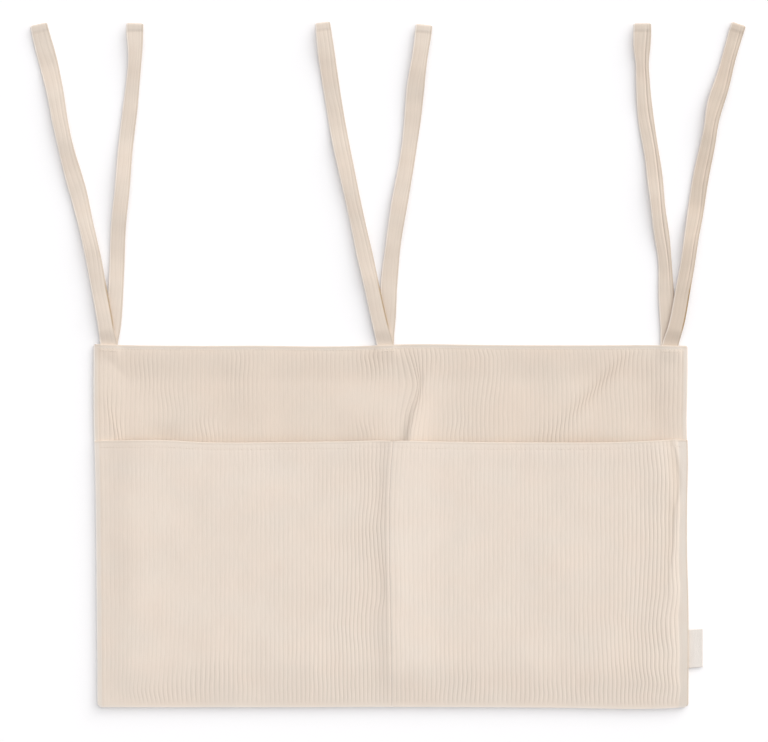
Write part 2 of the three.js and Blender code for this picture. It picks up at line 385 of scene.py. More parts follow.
def thread_mesh(name, stitches, radius):
    """A row of stitches. Each is a (start, end, lift) and bows up by lift between its two holes."""
    points, faces, coords = [], [], []
    turn = np.linspace(0, 2 * math.pi, THREAD_SIDES, endpoint=False)
    for start, end, lift in stitches:
        run = unit(end - start)
        aside = unit(np.cross((0, 0, 1), run))
        up = np.cross(run, aside)
        first = len(points)
        for share in np.linspace(0, 1, THREAD_RINGS):
            arch = math.sin(math.pi * share)
            size = radius * (THREAD_END + (1 - THREAD_END) * arch**THREAD_SWELL)
            middle = start + (end - start) * share + up * (lift * arch - radius * (1 - arch))
            points += [middle + size * (aside * math.cos(a) + up * math.sin(a)) for a in turn]
            coords += [(share * np.linalg.norm(end - start), a * radius) for a in turn]
        index = first + np.arange(THREAD_RINGS * THREAD_SIDES).reshape(THREAD_RINGS, THREAD_SIDES)
        faces += grid_faces(np.column_stack([index, index[:, 0]]), True)
        faces += [index[0].tolist(), index[-1, ::-1].tolist()]
    mesh = smooth_mesh(name, np.array(points), faces)
    set_coords(mesh, np.array(coords))
    return add_object(name, mesh)


# Materials: colours as linear light, and noise as its grains a millimetre across and along the cloth

POCKET_COLOUR = (0.810, 0.703, 0.611)
FRONT_COLOUR = (0.790, 0.676, 0.578)
TIE_COLOUR = (0.765, 0.657, 0.562)
BACK_COLOUR = (0.70, 0.60, 0.51)
LINING_COLOUR = (0.80, 0.71, 0.61)
THREAD_COLOUR = (0.82, 0.72, 0.62)
LABEL_COLOUR = (0.85, 0.79, 0.735)
PRESSED_TINT = (0.965, 1.0, 1.035)
NAP_AND_LIGHT_DEPTH = (0.8, 1.0, 1.25)
WARM = (1.008, 0.997, 0.990)
COOL = (0.992, 1.003, 1.008)
SHEEN_ROUGHNESS = 0.55
SPECULAR_LEVEL = 0.15
USUAL_NOISE = (0.3, 0.7)
CLOUDS = (0.035, 0.02)
HUE_CLOUDS = (0.02, 0.03)
STREAKS = (1.1, 0.06, 3.0)
GRAIN = (3.5, 3.0)
FINE_PILE = (4.0, 3.0)
TUFTS = (1.6, 0.5)
WORN_PILE = (2.2, 1.4)
PILE_ON_WALES = 0.6
PILE_IN_FURROWS = 0.5
SLUBS = (0.25, 0.25, 3.0)
UNEVEN_THREADS = (1.4, 0.05)
WORN_WEAVE = (0.8, 0.8)
WORN_WEAVE_SPREAD = 0.05
PLY_PITCH = 0.5
PLY_SLANT = 2.0
SHADES = ("wale", "pressed", "nap")


def add(tree, kind, inputs=None, **settings):
    node = tree.nodes.new(kind)
    for name, value in settings.items():
        setattr(node, name, value)
    for name, value in (inputs or {}).items():
        if isinstance(value, bpy.types.NodeSocket):
            tree.links.new(value, node.inputs[name])
        else:
            node.inputs[name].default_value = value
    return node


def math_node(tree, operation, *values):
    return add(tree, "ShaderNodeMath", dict(enumerate(values)), operation=operation).outputs[0]


def product(tree, value, *others):
    for other in others:
        value = math_node(tree, "MULTIPLY", value, other)
    return value


def mix_colour(tree, share, a, b, blend="MIX"):
    settings = {"data_type": "RGBA", "blend_type": blend}
    return add(tree, "ShaderNodeMix", {0: share, 6: a, 7: b}, **settings).outputs[2]


def map_range(tree, value, low, high, start=0.0, end=1.0):
    """Spreads values between start and end over low to high."""
    inputs = {"Value": value, "From Min": start, "From Max": end, "To Min": low, "To Max": high}
    return add(tree, "ShaderNodeMapRange", inputs).outputs[0]


def cloth_coords(tree, across=1, along=1):
    place = add(tree, "ShaderNodeUVMap", uv_map="cloth").outputs[0]
    return add(tree, "ShaderNodeMapping", {"Vector": place, "Scale": (across, along, 1)}).outputs[0]


def noise(tree, across, along, detail=2.0):
    inputs = {"Vector": cloth_coords(tree, across, along), "Scale": 1.0, "Detail": detail}
    return add(tree, "ShaderNodeTexNoise", inputs).outputs[0]


def noise_between(tree, grains, low, high):
    return map_range(tree, noise(tree, *grains), low, high, *USUAL_NOISE)


def bump(tree, strength, depth, height):
    inputs = {"Strength": strength, "Distance": depth * MM, "Height": height}
    return add(tree, "ShaderNodeBump", inputs).outputs[0]


def new_material(name, sheen, roughness):
    material = bpy.data.materials.new(name)
    material.use_nodes = True
    tree = material.node_tree
    shader = tree.nodes["Principled BSDF"]
    shader.inputs["Roughness"].default_value = roughness
    shader.inputs["Sheen Weight"].default_value = sheen
    shader.inputs["Sheen Roughness"].default_value = SHEEN_ROUGHNESS
    shader.inputs["Specular IOR Level"].default_value = SPECULAR_LEVEL
    return material, tree, shader


def connect(tree, shader, colour, normal, roughness=None):
    tree.links.new(colour, shader.inputs["Base Color"])
    tree.links.new(normal, shader.inputs["Normal"])
    if roughness is not None:
        tree.links.new(roughness, shader.inputs["Roughness"])


def colour4(colour, factor=1.0):
    return (*(channel * factor for channel in colour), 1.0)


def shaded(tree, colour, level):
    """A colour made paler or darker by a level."""
    tint = add(tree, "ShaderNodeCombineColor", {0: level, 1: level, 2: level}).outputs[0]
    return mix_colour(tree, 1.0, colour4(colour), tint, "MULTIPLY")


def corduroy(name, colour, furrow_shade):
    """Cut pile in wales: pale tufts on the wales, bare ground and painted shade in the furrows, pressed pile
    at seams, painted light and shade in the tone.
    """
    material, tree, shader = new_material(name, sheen=0.12, roughness=0.92)
    wale, pressed, nap = (
        add(tree, "ShaderNodeAttribute", attribute_name=shade).outputs["Fac"] for shade in SHADES
    )
    pressed_colour = [channel * tint for channel, tint in zip(colour, PRESSED_TINT)]
    # Darker in the furrows: bare ground and painted shade
    base = mix_colour(tree, wale, colour4(colour, furrow_shade), colour4(colour))
    base = mix_colour(tree, pressed, base, colour4(pressed_colour))
    clouds = noise_between(tree, CLOUDS, 0.985, 1.015)
    streaks = noise_between(tree, STREAKS, 0.98, 1.02)
    level = product(tree, clouds, streaks, noise_between(tree, GRAIN, 0.96, 1.04))
    # The pile's brushed tone and the painted light and shade scale the colour, blue more than red
    brushed_and_lit = [math_node(tree, "MULTIPLY_ADD", nap, depth, 1.0) for depth in NAP_AND_LIGHT_DEPTH]
    levels = [product(tree, level, part) for part in brushed_and_lit]
    tint = add(tree, "ShaderNodeCombineColor", dict(enumerate(levels))).outputs[0]
    hue = mix_colour(tree, noise_between(tree, HUE_CLOUDS, 0, 1), colour4(WARM), colour4(COOL))
    base = mix_colour(tree, 1.0, base, hue, "MULTIPLY")
    base = mix_colour(tree, 1.0, base, tint, "MULTIPLY")
    pile = math_node(tree, "ADD", noise(tree, *FINE_PILE), noise(tree, *TUFTS))
    pile_height = math_node(tree, "MULTIPLY_ADD", wale, PILE_ON_WALES, PILE_IN_FURROWS)
    normal = bump(tree, 0.35, 0.12, product(tree, pile, pile_height))
    connect(tree, shader, base, normal, noise_between(tree, WORN_PILE, 0.88, 0.98))
    return material


def plain_weave(name, colour, pitch, sheen, roughness, slub):
    """Warp and weft threads that pass over and under each other."""
    material, tree, shader = new_material(name, sheen, roughness)
    place = add(tree, "ShaderNodeSeparateXYZ", {0: cloth_coords(tree)})
    across, along = (
        math_node(tree, "SINE", product(tree, place.outputs[axis], math.pi / pitch)) for axis in (0, 1)
    )
    warp, weft = math_node(tree, "ABSOLUTE", across), math_node(tree, "ABSOLUTE", along)
    crossing = map_range(tree, product(tree, across, along), 0.0, 1.0, -0.3, 0.3)
    height = add(tree, "ShaderNodeMix", {0: crossing, 2: warp, 3: weft}, data_type="FLOAT").outputs[0]
    uneven = noise_between(tree, SLUBS, 1 - slub, 1 + slub)
    threads = noise_between(tree, UNEVEN_THREADS, 0.97, 1.03)
    # Painted shade where the threads dip under each other
    level = product(tree, uneven, threads, map_range(tree, height, 0.9, 1.0))
    smoother, rougher = roughness - WORN_WEAVE_SPREAD, roughness + WORN_WEAVE_SPREAD
    wear_and_edge_light = noise_between(tree, WORN_WEAVE, smoother, rougher)
    connect(tree, shader, shaded(tree, colour, level), bump(tree, 0.5, 0.1, height), wear_and_edge_light)
    return material


def twisted_thread(name, colour):
    """Sewing thread with its plies twisted round each other."""
    material, tree, shader = new_material(name, sheen=0.1, roughness=0.6)
    place = add(tree, "ShaderNodeSeparateXYZ", {0: cloth_coords(tree)})
    slant = math_node(tree, "MULTIPLY_ADD", place.outputs[1], PLY_SLANT, place.outputs[0])
    ply = math_node(tree, "SINE", product(tree, slant, 2 * math.pi / PLY_PITCH))
    height = math_node(tree, "ABSOLUTE", ply)
    # Painted shade in the grooves between the plies
    base = shaded(tree, colour, map_range(tree, height, 0.88, 1.0))
    connect(tree, shader, base, bump(tree, 0.6, 0.08, height))
    return material


pocket_corduroy = corduroy("pocket_corduroy", POCKET_COLOUR, furrow_shade=0.92)
front_corduroy = corduroy("front_corduroy", FRONT_COLOUR, furrow_shade=0.92)
tie_corduroy = corduroy("tie_corduroy", TIE_COLOUR, furrow_shade=0.96)
WEAVES = {
    "corduroy_back": {"colour": BACK_COLOUR, "pitch": 0.55, "sheen": 0.05, "roughness": 0.9, "slub": 0.02},
    "lining_weave": {"colour": LINING_COLOUR, "pitch": 0.5, "sheen": 0.05, "roughness": 0.88, "slub": 0.025},
    "label_weave": {"colour": LABEL_COLOUR, "pitch": 0.32, "sheen": 0.15, "roughness": 0.55, "slub": 0.01},
}
corduroy_back, lining_weave, label_weave = (plain_weave(name, **weave) for name, weave in WEAVES.items())
thread_finish = twisted_thread("sewing_thread", THREAD_COLOUR)


def finish_piece(piece, slot, nodes, *materials):
    for material in materials:
        piece.data.materials.append(material)
    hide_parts(*nodes)


def bend_between(piece, body, joint, before, after):
    """Bends a piece from the bag over to a moving body, between two offsets from the joint."""
    hinge = joint_places[joint] * MM
    start, end = hinge + np.array(before) * MM, hinge + np.array(after) * MM
    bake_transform(piece, "bag", body, start=tuple(start), end=tuple(end))


# Lining

LINING_INSET = 1
LINING_GRID = (121, 75)
LINING_WAVES = (31, 0.07, 60, 150)
LINING_LIFT = 0.16


def make_lining():
    across = np.linspace(LEFT + LINING_INSET, RIGHT - LINING_INSET, LINING_GRID[0])
    up = np.linspace(BOTTOM + LINING_INSET, TOP - LINING_INSET, LINING_GRID[1])
    u, v = np.meshgrid(across, up)
    x, y = laid(u, v)
    inward = np.minimum(from_sides(u), np.minimum(v - BOTTOM, TOP - v))
    rim = 1 - rise(inward, SEAM_ALLOWANCE - 1.5, SEAM_ALLOWANCE + 2)
    underside = (undulation(x, y, *LINING_WAVES) + LINING_LIFT) * (1 - rim)
    top = np.minimum(underside + LINING, LINING) + LINING * rim
    surface = np.stack([x, y, top], axis=-1)
    piece = cloth_shell("lining_cloth", surface, top - underside, np.zeros_like(u), {}, (u, v))
    finish_piece(piece, "lining", ["back_lining"], lining_weave, lining_weave)
    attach(piece, "bag")


# Front panel, which shows as a band above the pockets

FRONT_WALES = 136
FRONT_ROWS = [
    (BOTTOM + CORDUROY, BOTTOM + 14, 3),
    (BOTTOM + 14, MOUTH - 30, 16),
    (MOUTH - 30, MOUTH - 6, 4),
    (MOUTH - 6, TOP - 8, 2.4),
    (TOP - 8, TOP - CORDUROY, 1.0),
]
# Random waves, as seed, size, shortest and longest wave
BAND_WAVES = (11, 0.28, 50, 130)
BAND_UNEVEN_WALES = (12, 0.15, 25, 80)
BAND_WANDERING_WALES = (13, 0.25, 18, 70)
BAND_LIFT = 0.3
BAND_WALES = {"start": 0.6, "to_right": 0.1, "change": (-40, 40), "limits": (0.2, 3.6)}
BAND_STRIP = 4.5
RIM_SLOPE = 38
POCKET_INSET = 1.6
POCKET_INSET_REACH = 25
TOPSTITCH_FROM_EDGE = 4
TOPSTITCH_GROOVE = 0.08
GROOVE_HALF = 1.1
TIE_BULGE = 1.0
TIE_BULGE_HALF = 11
# Painted shadow on the band along the pockets' mouth, as (X, depth) pairs, and how far it reaches up and
# down
MOUTH_SHADE = [(-300, 0), (-270, 0.03), (-120, 0.045), (-20, 0.03), (10, 0), (50, 0.03), (85, 0.015)]
MOUTH_SHADE += [(130, 0.04), (255, 0.045), (285, 0)]
MOUTH_SHADE_REACH = 7
# Painted shade that dims the light caught by the band's top edge
TOP_EDGE_SHADE = 0.13
# Painted light on the band's left edge
BAND_EDGE_LIGHT = 0.36

# The one sharp fold, above the right pocket
# Its crest runs through (Y, X) points, and its height and left flank through (Y, value) points
FOLD = {
    "crest": [(60, 16), (87.6, 19.4), (103, 22), (118, 26), (133, 31.6), (144, 34.2), (172, 33)],
    "height": [(55, 0), (87.6, 3.8), (103, 3.2), (118, 2.3), (133, 1.3), (150, 0.5), (168, 0)],
    "left": [(87.6, 5.4), (103, 5.4), (133, 4.2), (150, 3.0)],
    "right": 15,
}
BAND_PATCHES = [
    patch(16, 144, 11, 23, aside=9.0),
    patch(29, 85, 11, 24, aside=-5.0),
    patch(18, 138, 11, 40, slant=0.2, gain=1.3),
    patch(25, 168, 40, 14, gain=0.7),
    patch(49, 150, 13, 27, lean=0.12),
    patch(21, 110, 6, 28, slant=0.22, gain=1.1),
    patch(282, 150, 16, 40, gain=0.6),
    patch(206, 138, 11, 36, slant=0.93, gain=2.4, gather=2.4, nap=-0.05),
    patch(190, 138, 12, 38, slant=0.93, swell=0.7),
    patch(-279, 104, 7, 26, slant=-0.2, gain=2.6, lean=-0.11, gather=1.5, nap=-0.03),
    patch(-249, 159, 13, 20, gain=0.9, lean=-0.14),
    patch(-221, 129, 24, 22, gain=0.3, lean=-0.16),
    patch(-189, 98, 15, 14, gain=1.2, lean=-0.24),
    patch(-153, 158, 15, 22, gain=0.8, lean=0.1),
    patch(-20, 167, 14, 17, gain=1.8, lean=-0.24, nap=-0.03),
    patch(-27, 100, 12, 14, gain=0.9, lean=-0.28),
    patch(65, 100, 12, 14, gain=0.9, lean=0.2),
    patch(97, 138, 22, 42, gain=0.6, lean=0.13),
    patch(167, 95, 20, 15, gain=1.4, lean=0.08),
    patch(262, 140, 24, 30, gain=0.5),
    patch(286, 170, 8, 12, gain=1.0),
    patch(-130, 115, 60, 20, gain=-0.3, nap=-0.015),
    patch(-35, 130, 26, 24, gain=-0.5, nap=0.02),
    patch(8, 112, 13, 34, gain=-0.4, nap=0.03),
    patch(52, 130, 20, 34, nap=0.02),
    patch(-232, 94, 17, 10, swell=-0.7, nap=-0.03),
    patch(-38, 120, 40, 40, swell=0.8),
    patch(130, 120, 50, 40, swell=0.5),
]


def sharp_fold(x, v):
    """Height of the sharp fold at places on the laid cloth."""
    aside = x - curve(FOLD["crest"], v)
    width = np.where(aside < 0, curve(FOLD["left"], v), FOLD["right"])
    return curve(FOLD["height"], v) * bell(aside, width)


def tie_roots():
    return sorted({joint_places[tie["name"] + "_tie_fold"][0] for tie in TIES})


def front_surface(u, v):
    """The front panel's face without its wales."""
    from_side, from_top = from_sides(u), TOP - v
    shift = wale_shift(BAND_PATCHES, u, v) + undulation(u, v, *BAND_WANDERING_WALES)
    shift = shift * rise(from_side, 2, 14) * rise(from_top, 3, 14)
    x, y = laid(u, v)
    covered = 1 - rise(v, MOUTH - 5, MOUTH)
    x = x - np.sign(u) * POCKET_INSET * covered * rise(abs(u), RIGHT - POCKET_INSET_REACH, RIGHT)
    y = y + POCKET_INSET * (1 - rise(v, BOTTOM, BOTTOM + POCKET_INSET_REACH))
    rim = 1 - rise(np.minimum(from_side, v - BOTTOM), SEAM_ALLOWANCE - 3, RIM_SLOPE)
    rim = np.maximum(rim, 1 - rise(from_top, SEAM_ALLOWANCE - 2, RIM_SLOPE))
    z = FRONT_TOP + (FRONT_RIM_TOP - FRONT_TOP) * rim + sharp_fold(u + shift, v)
    lift = undulation(x, y, *BAND_WAVES) + BAND_LIFT + patch_sum(BAND_PATCHES, "swell", x, y)
    z = z + lift * rise(np.minimum(from_side, from_top), 3, 30)
    z = z - TOPSTITCH_GROOVE * bell(from_top - TOPSTITCH_FROM_EDGE, GROOVE_HALF)
    for root in tie_roots():
        over_tie = np.exp(-(((u - root) / TIE_BULGE_HALF) ** 4))
        z = z + TIE_BULGE * over_tie * (1 - rise(from_top, 4, 20))
    return np.stack([x + shift, y, z], axis=-1)


def make_front():
    across = np.linspace(LEFT + CORDUROY, RIGHT - CORDUROY, FRONT_WALES * WALE_COLUMNS + 1)
    u, v = np.meshgrid(across, graded(*FRONT_ROWS))
    surface = front_surface(u, v)
    from_side, from_top = from_sides(u), TOP - v
    furrow = valley((u - across[0]) / (across[1] - across[0]) / WALE_COLUMNS)
    fade = rise(from_top, 3.4, 5.6) * rise(from_side, 1.5, 4)
    strength = BAND_WALES["start"] + BAND_WALES["to_right"] * rise(u, *BAND_WALES["change"])
    strength = strength + patch_sum(BAND_PATCHES, "gain", u, v)
    strength = np.clip(strength + undulation(u, v, *BAND_UNEVEN_WALES), *BAND_WALES["limits"])
    relief, wale = waled(furrow, strength, fade)
    pressed = 1 - rise(from_top, 3.0, 4.6) * rise(from_side, BAND_STRIP - 2, BAND_STRIP + 1)
    nap = patch_sum(BAND_PATCHES, "nap", u, v)
    # Painted shadow along the pockets' mouth
    nap = nap - curve(MOUTH_SHADE, u) * bell(v - MOUTH, MOUTH_SHADE_REACH)
    # Painted shade on the lit top edge and on a thin line along the seam under the left edge
    nap = nap - TOP_EDGE_SHADE * (1 - rise(from_top, 1.2, 2.6)) - left_seam_line(u - LEFT)
    # Painted light on the band's left edge, which is turned away from the lamps
    nap = nap + BAND_EDGE_LIGHT * (1 - rise(u - LEFT, 1.2, 1.7))
    turned_in = 1 - rise(np.minimum(from_side, np.minimum(from_top, v - BOTTOM)), 6, 10)
    thick = CORDUROY * (1 + turned_in)
    shades = {"wale": wale, "pressed": pressed, "nap": nap}
    piece = cloth_shell("front_cloth", surface, thick, relief, shades, (u, v), WALE_COLUMNS)
    finish_piece(piece, "corduroy", ["front_panel"], front_corduroy, corduroy_back)
    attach(piece, "bag")


# Pockets

POCKET_WALES = 68
POCKET_UNEVEN_WALES = (23, 0.15, 25, 90)
POCKET_WANDERING_WALES = (24, 0.25, 18, 70)
POCKET_WALE_LIMITS = (0.15, 3.2)
POCKET_LEVEL = 8.0
POCKET_RIM = 5.5
POCKET_LIFT = 0.5
CROWDING = 0.095
CROWDED_REACH = 130
DIVIDER_GAP = 0.03
SEWN_CLOTH = 0.7
TURN_RADIUS = 1.1
TURN_RUN = 4.1
HEM_WIDTH = 8
HEM_STITCH = 7
HEM_GROOVE = 0.1
HEM_WALES = 0.8
# Painted shade on the pockets' hem edge
HEM_EDGE_SHADE = 0.17
# Painted light on the pockets' bottom and outer edges
POCKET_EDGE_LIGHT = 0.5
# Painted light on the cloth beside the divider seam
DIVIDER_EDGE_LIGHT = 0.12
# Painted shade on the right pocket's side strip and its outer edge
RIGHT_STRIP_SHADE = 0.05
RIGHT_EDGE_SHADE = 0.2
OPENING_RISE = 70
OPENING_ROUNDNESS = 1.5
INNER_EDGE = RIGHT - DIVIDER_GAP - SEWN_CLOTH / 2
POCKET_ROWS = [
    (BOTTOM + TURN_RADIUS - TURN_RUN, BOTTOM + TURN_RADIUS, 0.3),
    (BOTTOM + TURN_RADIUS, BOTTOM + 12, 1.5),
    (BOTTOM + 12, MOUTH - 12, 2.6),
    (MOUTH - 12, MOUTH - CORDUROY, 1.0),
]
MOUTH_EDGE = [(-290, 0), (-224, 0), (-200, -1.4), (-100, -1.5), (-50, -0.9), (-20, -0.1), (0, -0.1)]
MOUTH_EDGE += [(60, -1.3), (140, -2.0), (215, -1.8), (255, -0.7), (287, 0.9)]
DIVIDER_PATH = [(-183, 0.4), (-100, -0.4), (-35, -1.6), (30, -1.6), (60, -0.2), (88, 1.8)]
DIVIDER_REACH = 45

# Heights of the cloth's face beside its bottom, its outer side and the divider, as (distance, height) pairs
BOTTOM_SIDE = [(0, 5.4), (6, 5.6), (9, 5.8), (48, POCKET_LEVEL)]
LEFT_POCKET = {
    "strip": 6, "waves": (21, 0.3, 60, 170),
    "wales": 0.4, "wales_to_right": 0.6, "wales_to_bottom": 0.1,
    "outer": [(0, 5.4), (5, 5.6), (9, 5.8), (38, 7.9), (50, POCKET_LEVEL)],
    "divider": [(0, 9.6), (1.5, 9.6), (4, 9.3), (14, 8.2), (28, 7.9), (48, POCKET_LEVEL)],
}
RIGHT_POCKET = {
    "strip": 11.5, "waves": (23, 0.3, 60, 170),
    "wales": 0.55, "wales_to_right": 0.7, "wales_to_bottom": 0.5,
    "outer": [(0, 5.6), (5, 5.8), (9, 6.1), (16, 7.2), (30, 7.9), (55, POCKET_LEVEL)],
    "divider": [(0, 9.65), (1.5, 9.75), (4, 9.75), (20, 9.0), (55, POCKET_LEVEL)],
}

# A shallow groove in the right pocket's cloth beside its sewn side, through (Y, X) points, with painted
# shade in it
SIDE_GROOVE = {
    "path": [(-90, 277), (-30, 282.5), (-14, 284.3), (6, 285), (20, 286.3), (27, 288.3), (61, 289.1),
             (75, 286.5), (88, 283)],
    "depth": [(-90, 0), (-34, 0.6), (20, 1.0), (61, 1.0), (86, 0.6)],
    "left": 8.5, "right": 2.6, "shade": 0.07,
}
POCKET_PATCHES = [
    patch(-20, 0, 19, 80, gain=1.1, nap=-0.02),
    patch(-100, -160, 80, 50, gain=0.5),
    patch(-34, -100, 24, 50, gain=0.4),
    patch(-7, -57, 20, 25, aside=3.0),
    patch(-23, 40, 22, 24, aside=1.7),
    patch(-29, -4, 22, 22, aside=-1.2),
    patch(-35, -100, 26, 28, aside=-2.2),
    patch(-62, -100, 34, 60, gain=0.5),
    patch(24, -10, 24, 110, nap=0.03),
    patch(100, 20, 70, 60, nap=0.01),
    patch(-180, 50, 90, 34, nap=0.01),
    patch(-150, 84, 160, 16, nap=0.025),
    patch(140, 84, 150, 16, nap=0.025),
    patch(70, -165, 34, 16, gain=0.9, lean=0.12, ripple=-0.4),
    patch(274, 20, 22, 120, gain=1.1),
    patch(268, -20, 22, 120, nap=-0.02),
    patch(258, -65, 28, 80, lean=0.07, gain=0.4),
    patch(272, 70, 22, 24, lean=-0.12),
    patch(283, 62, 6, 22, gain=-0.8, nap=-0.03),
    patch(285, -65, 14, 16, aside=1.3),
    patch(273, -100, 15, 20, aside=-1.9, gain=0.6),
    patch(281, -125, 15, 14, aside=0.9),
    patch(286, 18, 13, 28, aside=1.4),
    patch(291, -60, 3, 110, nap=-0.035),
    patch(296, 20, 3, 75, nap=0.03),
    patch(262, -140, 40, 40, gain=0.6, nap=-0.02),
    patch(262, -162, 40, 22, ripple=1.0),
    patch(225, -165, 50, 45, aside=3.5),
    patch(-225, -165, 50, 45, aside=-3.0),
    patch(170, -168, 90, 13, gain=0.7, ripple=0.5),
    patch(-234, -170, 34, 12, gain=0.9, lean=-0.2, ripple=-0.6),
    patch(-182, -150, 24, 22, gain=1.0),
    patch(26, 75, 20, 35, swell=0.8),
]


def pocket_of(side):
    return RIGHT_POCKET if side > 0 else LEFT_POCKET


def turn_down(distance):
    """Rolls cloth over an edge: how far inside the edge it lies, and how far down."""
    past = np.maximum(TURN_RADIUS - distance, 0)
    angle = np.minimum(past / TURN_RADIUS, math.pi / 2)
    inside = np.where(past > 0, TURN_RADIUS * (1 - np.sin(angle)), distance)
    return inside, TURN_RADIUS * (1 - np.cos(angle)) + np.maximum(past - TURN_RADIUS * math.pi / 2, 0)


def crowded(from_right):
    """How far the wales are crowded towards the pocket's right side."""
    return CROWDING * from_right * bell(from_right, CROWDED_REACH)


def side_groove(x, v):
    """Depth of the groove beside the right pocket's sewn side."""
    aside = x - curve(SIDE_GROOVE["path"], v)
    width = np.where(aside < 0, SIDE_GROOVE["left"], SIDE_GROOVE["right"])
    return curve(SIDE_GROOVE["depth"], v) * bell(aside, width)


def pocket_surface(side, outer, v):
    """The pocket cloth's face without its wales, at a distance from the bag's side edge."""
    from_side, side_drop = turn_down(outer)
    from_bottom, bottom_drop = turn_down(v - BOTTOM)
    u, held_v = side * (RIGHT - from_side), BOTTOM + from_bottom
    from_divider, below = abs(u) - DIVIDER_GAP, MOUTH - v
    inward = np.minimum(from_side, from_divider)
    x, y = laid(u, held_v)
    x = x + curve(DIVIDER_PATH, held_v) * (1 - rise(abs(u), 0, DIVIDER_REACH))
    shift = wale_shift(POCKET_PATCHES, u, v) + undulation(u, v, *POCKET_WANDERING_WALES)
    shift = shift + crowded(from_side if side > 0 else from_divider)
    x = x + shift * rise(inward, 1, 12)
    y = y + curve(MOUTH_EDGE, u) * (1 - rise(below, 5, 70))

    pocket = pocket_of(side)
    low = curve(BOTTOM_SIDE, from_bottom)
    climb = np.clip((low - POCKET_RIM) / (POCKET_LEVEL - POCKET_RIM), 0, 1)
    sides = curve(pocket["outer"], from_side) + curve(pocket["divider"], from_divider)
    z = low + (sides - 2 * POCKET_LEVEL) * climb
    lift = undulation(x, y, *pocket["waves"]) + POCKET_LIFT * (1 - rise(below, 2, 30))
    z = z + lift * rise(np.minimum(inward, from_bottom), 4, 40)
    z = z + patch_sum(POCKET_PATCHES, "swell", x, y) - side_groove(x, y)
    z = z - HEM_GROOVE * bell(below - HEM_STITCH, GROOVE_HALF) * rise(from_side, 4, 12)
    return np.stack([x, y, z - np.maximum(side_drop, bottom_drop)], axis=-1)


def pocket_grid(side):
    """Distances of the columns from the bag's side edge, and the rows' places, with the turned edges."""
    turned = np.linspace(TURN_RADIUS - TURN_RUN, TURN_RADIUS, 2 * WALE_COLUMNS + 1)
    inner = np.linspace(TURN_RADIUS, INNER_EDGE, POCKET_WALES * WALE_COLUMNS + 1)
    outer = np.concatenate([turned, inner[1:]])
    if side > 0:
        outer = outer[::-1]
    return np.meshgrid(outer, graded(*POCKET_ROWS))


def pocket_wales(side, u, v):
    """How proud the pocket's wales stand."""
    pocket = pocket_of(side)
    across = (u - (HALF_DIVIDER if side > 0 else LEFT)) / (RIGHT - HALF_DIVIDER)
    down = (MOUTH - v) / (MOUTH - BOTTOM)
    strength = pocket["wales"] + pocket["wales_to_right"] * across**2
    strength = strength + pocket["wales_to_bottom"] * down**2
    strength = strength + patch_sum(POCKET_PATCHES, "gain", u, v)
    return np.clip(strength + undulation(u, v, *POCKET_UNEVEN_WALES), *POCKET_WALE_LIMITS)


def pocket_nap(side, surface, outer, u, v, strip, hem_edge):
    """How much paler or darker the pocket's cloth is painted: tone patches, painted light along edges and
    the divider, painted shade in the side groove, at the hem, on the right strip and along the left seam.
    """
    nap = patch_sum(POCKET_PATCHES, "nap", u, v)
    # Painted shade in the groove beside the right pocket's sewn side
    nap = nap - SIDE_GROOVE["shade"] * side_groove(surface[..., 0], surface[..., 1])
    bottom = v - BOTTOM
    # Painted light along the bottom edge, and the left pocket's outer edge, which turn away from the lamps
    wear_and_edge_light = 1 - rise(bottom if side > 0 else np.minimum(outer, bottom), -0.2, 1.7)
    # Painted shade on the hem's top edge
    nap = nap + POCKET_EDGE_LIGHT * wear_and_edge_light - HEM_EDGE_SHADE * hem_edge
    if side < 0:
        return nap - left_seam_line(outer)
    # Painted shade on the right strip and the right edge
    nap = nap - RIGHT_STRIP_SHADE * strip - RIGHT_EDGE_SHADE * (1 - rise(outer, 0.6, 1.7))
    # Painted light on the cloth beside the divider, lightening the shade of its seam
    return nap + DIVIDER_EDGE_LIGHT * (1 - rise(abs(u) - DIVIDER_GAP, 0.4, 1.6))


def make_pocket(side, name):
    outer, v = pocket_grid(side)
    surface = pocket_surface(side, outer, v)
    u = side * (RIGHT - outer)
    from_divider, below = abs(u) - DIVIDER_GAP, MOUTH - v
    furrow = valley((outer - TURN_RADIUS) / ((INNER_EDGE - TURN_RADIUS) / POCKET_WALES))
    edge = pocket_of(side)["strip"]
    fade = rise(below, 0.8, 2.4) * (HEM_WALES + (1 - HEM_WALES) * rise(below, 5.5, 9))
    fade = fade * rise(v - BOTTOM, 2, 8) * rise(outer, edge - 3, edge)
    relief, wale = waled(furrow, pocket_wales(side, u, v), fade)
    strip = 1 - rise(outer, edge - 2, edge)
    # Painted shade on the hem's top edge, which catches the light; the pressed tint there keeps that shade
    # neutral
    hem_edge = 1 - rise(below, 1.5, 2.8)
    nap = pocket_nap(side, surface, outer, u, v, strip, hem_edge)
    shades = {"wale": wale, "pressed": np.maximum(strip, hem_edge), "nap": nap}
    hem = 1 - rise(below, HEM_WIDTH, HEM_WIDTH + 3)
    hem = hem * rise(outer, 2, 10) * rise(from_divider, 2, 10)
    thick = SEWN_CLOTH + (CORDUROY - SEWN_CLOTH) * rise(from_divider, 1, 4) + CORDUROY * hem
    cloth_name = "pocket_cloth_" + name
    piece = cloth_shell(cloth_name, surface, thick, relief, shades, (u, v), WALE_COLUMNS)
    finish_piece(piece, "corduroy", ["pocket_front_" + name], pocket_corduroy, corduroy_back)
    open_with_pocket(piece, "pocket_" + name)


